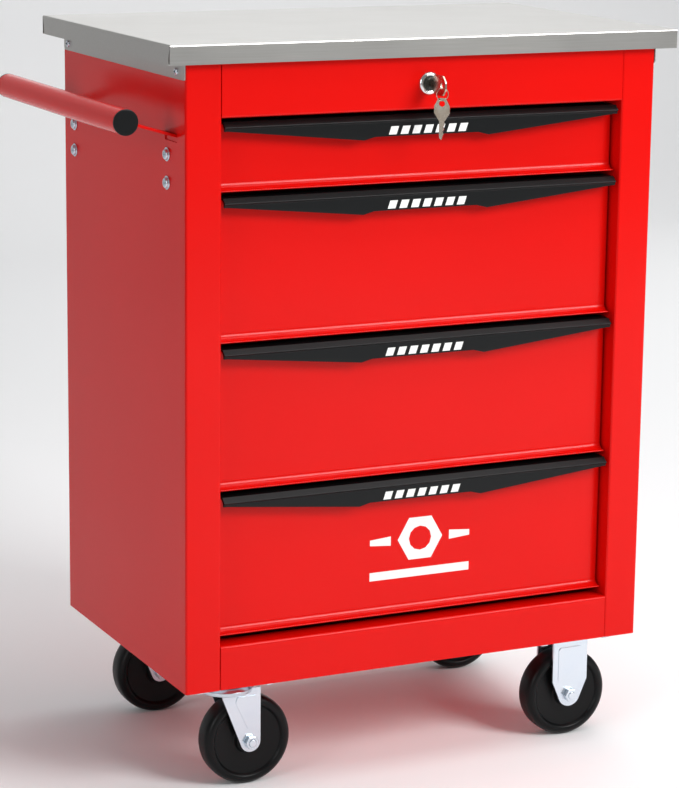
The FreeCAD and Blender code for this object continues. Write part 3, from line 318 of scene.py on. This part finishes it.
def add_cross_head(shape, seat, out, radius, height):
    """A domed screw head with a cross recess: it stands on seat and faces along out."""
    before = set(shape.verts)
    dome = [(1.0, 0.0), (1.0, 0.45), (0.93, 0.72), (0.8, 0.9), (0.62, 1.0)]
    points = [shape.verts.new((out_to * radius, 0.0, up * height)) for out_to, up in dome]
    rim = [shape.edges.new(pair) for pair in zip(points, points[1:])]
    bmesh.ops.spin(shape, geom=points + rim, axis=(0, 0, 1), cent=(0, 0, 0), dvec=(0, 0, 0),
                   angle=math.tau, steps=24, use_merge=True)
    arm, half, taper, recess_floor = radius * 0.46, radius * 0.11, 0.7, height * 0.35
    corner = [(arm, -half), (arm, half), (half, half)]
    cross = []
    for quarter in range(4):
        spin = Matrix.Rotation(quarter * math.pi / 2, 3, "Z")
        cross += [shape.verts.new(spin @ Vector((x, y, height))) for x, y in corner]
    cross_edges = [shape.edges.new((cross[i - 1], cross[i])) for i in range(len(cross))]
    verts = [v for v in shape.verts if v not in before]
    mouth = [e for e in {e for v in verts for e in v.link_edges}
             if e.is_boundary and all(abs(v.co.z - height) < 1e-7 for v in e.verts)]
    bmesh.ops.bridge_loops(shape, edges=mouth + cross_edges)
    made = bmesh.ops.extrude_edge_only(shape, edges=cross_edges)["geom"]
    deep = [v for v in made if isinstance(v, bmesh.types.BMVert)]
    for vert in deep:
        vert.co = Vector((vert.co.x * taper, vert.co.y * taper, recess_floor))
    bmesh.ops.contextual_create(shape, geom=[e for e in made if isinstance(e, bmesh.types.BMEdge)
                                             and all(v in deep for v in e.verts)])
    verts = [v for v in shape.verts if v not in before]
    foot = [e for e in {e for v in verts for e in v.link_edges}
            if e.is_boundary and all(abs(v.co.z) < 1e-7 for v in e.verts)]
    bmesh.ops.contextual_create(shape, geom=foot)
    bmesh.ops.recalc_face_normals(shape, faces=list({f for v in verts for f in v.link_faces}))
    lean = Vector((0, 0, 1)).rotation_difference(Vector(out)).to_matrix().to_4x4()
    bmesh.ops.transform(shape, verts=verts, matrix=Matrix.Translation(seat) @ lean)


# Bright zinc plate with a faint blue passivation and cloudy patches a centimetre or so across.
zinc_plate, tree = empty_material("zinc_plate")
place = add_node(tree, "ShaderNodeTexCoord").outputs["Object"]
cloud = add_node(tree, "ShaderNodeTexNoise", {"Vector": place, "Scale": 45.0, "Detail": 1.0})
tone = add_node(tree, "ShaderNodeMix", {
    "Factor": cloud.outputs["Fac"], "A": linear("#CFDCE8"), "B": linear("#E0E9F0")}, data_type="RGBA")
rough = add_node(tree, "ShaderNodeMapRange", {"Value": cloud.outputs["Fac"], "To Min": 0.2, "To Max": 0.28})
finish_material(tree, Base_Color=tone.outputs["Result"], Metallic=0.92, Roughness=rough.outputs[0])

screw_low, screw_high = extent("worktop_screws")
head_radius, head_height = 0.0038, 0.0022
shape = bmesh.new()
for y in (screw_low.y + head_radius, screw_high.y - head_radius):
    for wall_x, out in ((shell_low.x - steel, -1), (shell_high.x + steel, 1)):
        seat = Vector((wall_x, y, (screw_low.z + screw_high.z) / 2))
        add_cross_head(shape, seat, (out, 0, 0), head_radius, head_height)
fit(new_piece("worktop_screw_heads", shape, zinc_plate), "root", "zinc_plate", "worktop_screws")

# ---------------------------------------------------------------- push handle
# A steel tube between two bent flat bars that enter the left side through slots. It has the same
# enamel as the shell, and a moulded cap pressed into each end.
for node in ("handle_bar", "front_handle_bracket", "rear_handle_bracket"):
    eased_copy(f"{node}_enamelled", node, baked_enamel, "root", "red_enamel")

# Moulded polypropylene: near black with a fine spark-eroded grain, so it shines softly and evenly.
moulded_black, tree = empty_material("moulded_black")
place = add_node(tree, "ShaderNodeTexCoord").outputs["Object"]
grit = add_node(tree, "ShaderNodeTexNoise", {"Vector": place, "Scale": 900.0, "Detail": 2.0})
bump = add_node(tree, "ShaderNodeBump", {"Height": grit.outputs["Fac"], "Strength": 0.1, "Distance": 0.0001})
rough = add_node(tree, "ShaderNodeMapRange", {"Value": grit.outputs["Fac"], "To Min": 0.27, "To Max": 0.37})
finish_material(tree, Base_Color=linear("#0B0D0E"), Roughness=rough.outputs[0], Specular_IOR_Level=0.22,
                Normal=bump.outputs[0])
eased_copy("handle_caps_moulded", "handle_caps", moulded_black, "root", "black_moulding", 0.0012)

# ---------------------------------------------------------------- handle bolts
# Four bought-in flanged bolts of zinc-plated steel with low domed heads and a cross recess. They
# hold the handle's bars through the side panel, with nuts inside.
bolt_low, bolt_high = extent("handle_fasteners")
flange_radius, flange_thickness, flange_ease = 0.007, 0.0015, 0.0005
dome_radius, dome_height = 0.0054, 0.0026
nut_radius, nut_height, nut_inset = 0.0058, 0.005, 0.0067
shank_radius, shank_length, shank_inset = 0.003, 0.0085, 0.0077
lie_across = Matrix.Rotation(math.pi / 2, 4, "Y")
shape = bmesh.new()
for y in (bolt_low.y + flange_radius, bolt_high.y - flange_radius):
    for z in (bolt_low.z + flange_radius, bolt_high.z - flange_radius):
        around = Matrix.Translation((shell_low.x - flange_thickness / 2, y, z)) @ lie_across
        disc = bmesh.ops.create_cone(shape, cap_ends=True, segments=32, radius1=flange_radius,
                                     radius2=flange_radius, depth=flange_thickness, matrix=around)["verts"]
        rim = [e for e in {e for v in disc for e in v.link_edges} if e.calc_face_angle(0) > 1]
        bmesh.ops.bevel(shape, geom=rim, offset=flange_ease, segments=2, profile=0.5, affect="EDGES",
                        material=-1)
        seat = Vector((shell_low.x - flange_thickness, y, z))
        add_cross_head(shape, seat, (-1, 0, 0), dome_radius, dome_height)
        around = Matrix.Translation((shell_low.x + nut_inset, y, z)) @ lie_across
        bmesh.ops.create_cone(shape, cap_ends=True, segments=6, radius1=nut_radius, radius2=nut_radius,
                              depth=nut_height, matrix=around)
        around = Matrix.Translation((shell_low.x + shank_inset, y, z)) @ lie_across
        bmesh.ops.create_cone(shape, cap_ends=True, segments=24, radius1=shank_radius, radius2=shank_radius,
                              depth=shank_length, matrix=around)
fit(new_piece("handle_bolts", shape, zinc_plate), "root", "zinc_plate", "handle_fasteners")

# ---------------------------------------------------------------- casters
# Pressed and zinc-plated: two fixed forks on the right, and on the left two forks that swivel on
# a kingpin under a race plate. Each is bolted through the floor at its four corners.
for node in ("swivel_kingpins", "caster_bolts", "front_rigid_fork", "rear_rigid_fork",
             "front_swivel_plate", "rear_swivel_plate"):
    eased_copy(f"{node}_plated", node, zinc_plate, "root", "zinc_plate", 0.0005)
eased_copy("rigid_axles_plated", "rigid_axles", zinc_plate, "root", "zinc_plate", 0.0008)
for end in ("front", "rear"):
    for part, edge in (("swivel_fork", 0.0005), ("swivel_axle", 0.0008)):
        eased_copy(f"{end}_{part}_plated", f"{end}_{part}", zinc_plate, f"{end}_caster", "zinc_plate", edge)

# ---------------------------------------------------------------- wheels
# Four hard rubber wheels moulded in one: a rounded tread, a raised rim ring, a dished web and a
# hub that runs on the axle.


def add_turned(shape, profile, centre, axis):
    """A closed ring turned from (radius, along) points about an axis through centre."""
    before = set(shape.verts)
    along = Vector(axis)
    across = along.orthogonal().normalized()
    points = [shape.verts.new(centre + across * radius + along * far) for radius, far in profile]
    rim = [shape.edges.new((points[i - 1], points[i])) for i in range(len(points))]
    bmesh.ops.spin(shape, geom=points + rim, axis=along, cent=centre, dvec=(0, 0, 0),
                   angle=math.tau, steps=96, use_merge=True)
    verts = [v for v in shape.verts if v not in before]
    bmesh.ops.remove_doubles(shape, verts=verts, dist=1e-7)
    bmesh.ops.recalc_face_normals(shape, faces=shape.faces)


# Hard black rubber: a dull sheen broken by a faint mottle from the mould.
moulded_rubber, tree = empty_material("moulded_rubber")
place = add_node(tree, "ShaderNodeTexCoord").outputs["Object"]
mottle = add_node(tree, "ShaderNodeTexNoise", {"Vector": place, "Scale": 120.0, "Detail": 4.0})
bump = add_node(tree, "ShaderNodeBump", {
    "Height": mottle.outputs["Fac"], "Strength": 0.06, "Distance": 0.0002})
rough = add_node(tree, "ShaderNodeMapRange", {"Value": mottle.outputs["Fac"], "To Min": 0.3, "To Max": 0.44})
finish_material(tree, Base_Color=linear("#08090A"), Roughness=rough.outputs[0], Specular_IOR_Level=0.2,
                Normal=bump.outputs[0])

# One side of the wheel from its bore to its tread, as radius and distance from its middle in mm.
half_profile = [(4.2, 13.3), (11.6, 13.3), (12.8, 12.6), (14.6, 8.8), (16.5, 8.1), (30.0, 9.0),
                (36.6, 10.0), (38.4, 12.6), (39.4, 13.3), (41.0, 13.5), (43.0, 13.3), (45.0, 12.2),
                (46.8, 10.2), (47.7, 7.2), (48.0, 3.0)]
wheel_profile = half_profile + [(r, -y) for r, y in reversed(half_profile)]
for end in ("front", "rear"):
    for side in ("left", "right"):
        wheel = f"{end}_{side}_wheel"
        low, high = extent(wheel)
        shape = bmesh.new()
        add_turned(shape, [(r / 1000, y / 1000) for r, y in wheel_profile], (low + high) / 2, (0, 1, 0))
        fit(new_piece(f"{wheel}_moulded", shape, moulded_rubber, 32), wheel, "black_rubber", wheel)

# ---------------------------------------------------------------- drawers and slides
# Four drawers: an enamelled front with a flared lower lip, a folded tray behind it, a full-width
# moulded pull along its top edge, and a pair of plated slides.
for count in range(1, 5):
    drawer = f"drawer_{count}"
    for part, coat, material, body, slot, edge in (
            ("drawer_front", "enamelled", baked_enamel, drawer, "red_enamel", 0.0004),
            ("drawer_tray", "enamelled", baked_enamel, drawer, "red_enamel", 0.0003),
            ("drawer_trim", "moulded", moulded_black, drawer, "black_moulding", 0.0004),
            ("slide_runners", "plated", zinc_plate, drawer, "zinc_plate", 0.0002),
            ("slide_rails", "plated", zinc_plate, "root", "zinc_plate", 0.0002)):
        eased_copy(f"{part}_{count}_{coat}", f"{part}_{count}", material, body, slot, edge)

# ---------------------------------------------------------------- printed marks
# Plain marks in white ink, with no lettering: slanted bars on each pull, and a nut over a bar on
# the bottom drawer.


def front_surface(node):
    """A function that gives how far back a design solid's front lies, straight behind a place."""
    mesh = nodes[node].data
    faces = BVHTree.FromPolygons([v.co for v in mesh.vertices], [face.vertices for face in mesh.polygons])
    return lambda x, z: faces.ray_cast(Vector((x, -1, z)), Vector((0, 1, 0)))[0].y


def add_print(shape, outline, surface):
    """A flat printed patch, a tenth of a millimetre proud of the surface behind its outline."""
    ink = 0.0001
    back = [shape.verts.new((x, surface(x, z) + ink, z)) for x, z in outline]
    made = bmesh.ops.extrude_face_region(shape, geom=[shape.faces.new(back)])["geom"]
    bmesh.ops.translate(shape, verts=[v for v in made if isinstance(v, bmesh.types.BMVert)],
                        vec=(0, -2 * ink, 0))
    bmesh.ops.recalc_face_normals(shape, faces=shape.faces)


# Screen-printed white ink: flat and slightly uneven in cover.
white_ink, tree = empty_material("white_ink")
place = add_node(tree, "ShaderNodeTexCoord").outputs["Object"]
cover = add_node(tree, "ShaderNodeTexNoise", {"Vector": place, "Scale": 500.0, "Detail": 2.0})
tone = add_node(tree, "ShaderNodeMix", {
    "Factor": cover.outputs["Fac"], "A": linear("#F4F4F2"), "B": linear("#E6E6E4")}, data_type="RGBA")
finish_material(tree, Base_Color=tone.outputs["Result"], Roughness=0.45)

centre_x = (shell_low.x + shell_high.x) / 2
bar, gap, tall, slant, above_foot = 0.0085, 0.0045, 0.0082, 0.0028, 0.0048
for count in range(1, 5):
    pull_face = front_surface(f"drawer_trim_{count}")
    low_z = extent(f"drawer_trim_{count}")[0].z + above_foot
    shape = bmesh.new()
    for place_in_row in range(-3, 4):
        left = centre_x + place_in_row * (bar + gap) - bar / 2
        add_print(shape, [(left, low_z), (left + bar, low_z), (left + bar + slant, low_z + tall),
                          (left + slant, low_z + tall)], pull_face)
    fit(new_piece(f"pull_mark_{count}", shape, white_ink), f"drawer_{count}", None)

sheet_face = front_surface("drawer_front_4")
mark_x, mark_z = centre_x + 0.008, extent("drawer_front_4")[0].z + 0.076
mark_radius, hole_share, half_mark = 0.026, 0.5, 0.058
wedge_start, wedge_thick, wedge_thin = 0.034, 0.005, 0.003
bar_low, bar_high = -0.041, -0.032


def on_mark(*points):
    """Places given from the mark's centre, as places on the drawer."""
    return [(mark_x + x, mark_z + z) for x, z in points]


def round_mark(radius, turn_by):
    """A place on a circle round the mark's centre."""
    return radius * math.cos(turn_by), radius * math.sin(turn_by)


shape = bmesh.new()
for corner in range(6):
    near, far = (math.radians(60 * (corner + i)) for i in (0, 1))
    flat = [round_mark(mark_radius, turn_by) for turn_by in (near, far)]
    hole = [round_mark(mark_radius * hole_share, turn_by) for turn_by in (far, (near + far) / 2, near)]
    add_print(shape, on_mark(*flat, *hole), sheet_face)
for start, end in ((-wedge_start, -half_mark), (wedge_start, half_mark)):
    add_print(shape, on_mark((start, -wedge_thick), (end, -wedge_thin), (end, wedge_thin),
                             (start, wedge_thick)), sheet_face)
add_print(shape, on_mark((-half_mark, bar_low), (half_mark, bar_low), (half_mark, bar_high),
                         (-half_mark, bar_high)), sheet_face)
fit(new_piece("drawer_mark", shape, white_ink), "drawer_4", None)

# ---------------------------------------------------------------- lock
# A chromed die-cast cam lock, held in the top rail by a ring nut. Its plug turns in the barrel
# and works a long plated shaft to the lock bar behind the drawers.

# Chrome plate: mirror bright, with the faint waviness of polishing.
chrome_plate, tree = empty_material("chrome_plate")
place = add_node(tree, "ShaderNodeTexCoord").outputs["Object"]
polish = add_node(tree, "ShaderNodeTexNoise", {"Vector": place, "Scale": 300.0, "Detail": 2.0})
rough = add_node(tree, "ShaderNodeMapRange", {"Value": polish.outputs["Fac"], "To Min": 0.05, "To Max": 0.14})
finish_material(tree, Base_Color=linear("#E4E4E4"), Metallic=1.0, Roughness=rough.outputs[0])
lock_low, lock_high = extent("lock_housing")
lock_axis = Vector(((lock_low.x + lock_high.x) / 2, lock_low.y, (lock_low.z + lock_high.z) / 2))
bezel = (lock_high.x - lock_low.x) / 2
plug_bore, barrel_radius, face_depth = 0.0061, 0.0095, 0.003
barrel_end = lock_high.y - lock_low.y
profile = [(plug_bore, 0.0014), (plug_bore + 0.0006, 0.0008), (bezel - 0.0036, 0.0008),
           (bezel - 0.003, 0.0002), (bezel - 0.0024, 0.0), (bezel - 0.0014, 0.0003),
           (bezel - 0.0005, 0.001), (bezel, 0.002), (bezel, face_depth), (barrel_radius, face_depth),
           (barrel_radius, barrel_end), (plug_bore, barrel_end)]
shape = bmesh.new()
add_turned(shape, profile, lock_axis, (0, 1, 0))
fit(new_piece("lock_housing_chromed", shape, chrome_plate, 50), "root", "lock_chrome", "lock_housing")

# Oxidised die-cast zinc: dark grey with glinting grains.
cast_plug, tree = empty_material("cast_plug")
place = add_node(tree, "ShaderNodeTexCoord").outputs["Object"]
grains = add_node(tree, "ShaderNodeTexVoronoi", {"Vector": place, "Scale": 1400.0})
tone = add_node(tree, "ShaderNodeMix", {
    "Factor": grains.outputs["Distance"], "A": linear("#1C1C1B"), "B": linear("#6E6E6A")}, data_type="RGBA")
bump = add_node(tree, "ShaderNodeBump", {
    "Height": grains.outputs["Distance"], "Strength": 0.5, "Distance": 0.0002})
finish_material(tree, Base_Color=tone.outputs["Result"], Metallic=1.0, Roughness=0.3, Normal=bump.outputs[0])
eased_copy("lock_plug_cast", "lock_plug", cast_plug, "lock_plug", "dark_plug", 0.0002)

# The dark face ring lies in the bezel's recess, round the plug.
profile = [(plug_bore, 0.0005), (bezel - 0.0038, 0.0005), (bezel - 0.0036, 0.0007),
           (bezel - 0.0036, 0.0009), (plug_bore, 0.0009)]
shape = bmesh.new()
add_turned(shape, profile, lock_axis, (0, 1, 0))
fit(new_piece("lock_face_cast", shape, cast_plug), "root", "dark_plug")
eased_copy("lock_nut_plated", "lock_nut", zinc_plate, "root", "zinc_plate")
eased_copy("lock_shaft_plated", "lock_shaft", zinc_plate, "lock_plug", "zinc_plate")
eased_copy("lock_bar_plated", "lock_bar", zinc_plate, "lock_bar", "zinc_plate", 0.0002)
eased_copy("lock_bar_guides_plated", "lock_bar_guides", zinc_plate, "root", "zinc_plate", 0.0002)

# ---------------------------------------------------------------- keys and ring
# A key stamped from nickelled brass stands in the plug. A spare one hangs from it on a small split
# ring of wound wire.

# Worn nickel plate over brass: pale, with warmer brass showing where it is thin.
nickel_plate, tree = empty_material("nickel_plate")
place = add_node(tree, "ShaderNodeTexCoord").outputs["Object"]
wear = add_node(tree, "ShaderNodeTexNoise", {"Vector": place, "Scale": 160.0, "Detail": 3.0})
tone = add_node(tree, "ShaderNodeMix", {
    "Factor": wear.outputs["Fac"], "A": linear("#D8D2C6"), "B": linear("#A8917A")}, data_type="RGBA")
finish_material(tree, Base_Color=tone.outputs["Result"], Metallic=1.0, Roughness=0.22)
eased_copy("key_nickelled", "key", nickel_plate, "key", "nickel", 0.0003)

ring_low, ring_high = extent("key_ring")
ring_centre = (ring_low + ring_high) / 2
wire = 0.00032
ring_radius = (ring_high.z - ring_low.z) / 2 - wire
shape = bmesh.new()
for layer in (-1, 1):
    turns = [math.tau * i / 10 for i in range(10)]
    coil = [(ring_radius + wire * math.cos(t), wire * (0.9 * layer + math.sin(t))) for t in turns]
    add_turned(shape, coil, ring_centre, (0, 1, 0))
fit(new_piece("key_ring_nickelled", shape, nickel_plate, 60), "key_ring", "nickel", "key_ring")

bow_half, bow_height, bow_rise, hole_radius, thick = 0.008, 0.023, 0.0026, 0.003, 0.0018
blade_half, blade_length = 0.0026, 0.0185
hang = Vector((ring_centre.x, ring_centre.y, ring_low.z + 2 * wire))
shape = bmesh.new()
chamfer, flat_top = 0.35, 0.45
octagon = [(-bow_half, -1 + chamfer), (-bow_half, -chamfer), (-bow_half * flat_top, 0),
           (bow_half * flat_top, 0), (bow_half, -chamfer), (bow_half, -1 + chamfer), (blade_half, -1),
           (-blade_half, -1)]
outer = [shape.verts.new((x, 0, z * bow_height + bow_rise)) for x, z in octagon]
turns = [math.tau * i / 16 for i in range(16)]
hole = [shape.verts.new((hole_radius * math.sin(t), 0, hole_radius * (math.cos(t) - 1))) for t in turns]
rings = [shape.edges.new((loop[i - 1], loop[i])) for loop in (outer, hole) for i in range(len(loop))]
bmesh.ops.bridge_loops(shape, edges=rings)
low_z = bow_rise - bow_height
steps = [(blade_half, 0.0), (blade_half, -0.2), (blade_half * 0.5, -0.3), (blade_half, -0.42),
         (blade_half * 0.35, -0.55), (blade_half * 0.8, -0.68), (blade_half * 0.4, -0.8), (0.0, -1.0),
         (-blade_half * 0.8, -0.92), (-blade_half, -0.8), (-blade_half, 0.0)]
blade = [shape.verts.new((x, 0, low_z + z * blade_length)) for x, z in steps]
shape.faces.new(blade)
made = bmesh.ops.extrude_face_region(shape, geom=shape.faces[:])["geom"]
bmesh.ops.translate(shape, verts=[v for v in made if isinstance(v, bmesh.types.BMVert)],
                    vec=(0, thick, 0))
bmesh.ops.recalc_face_normals(shape, faces=shape.faces)
bmesh.ops.translate(shape, verts=shape.verts, vec=(0, -thick / 2, 0))
hang_turn = Matrix.Rotation(math.radians(-42), 4, "Z")
bmesh.ops.transform(shape, verts=shape.verts, matrix=Matrix.Translation(hang) @ hang_turn)
fit(new_piece("spare_key", shape, nickel_plate), "key_ring", "nickel")
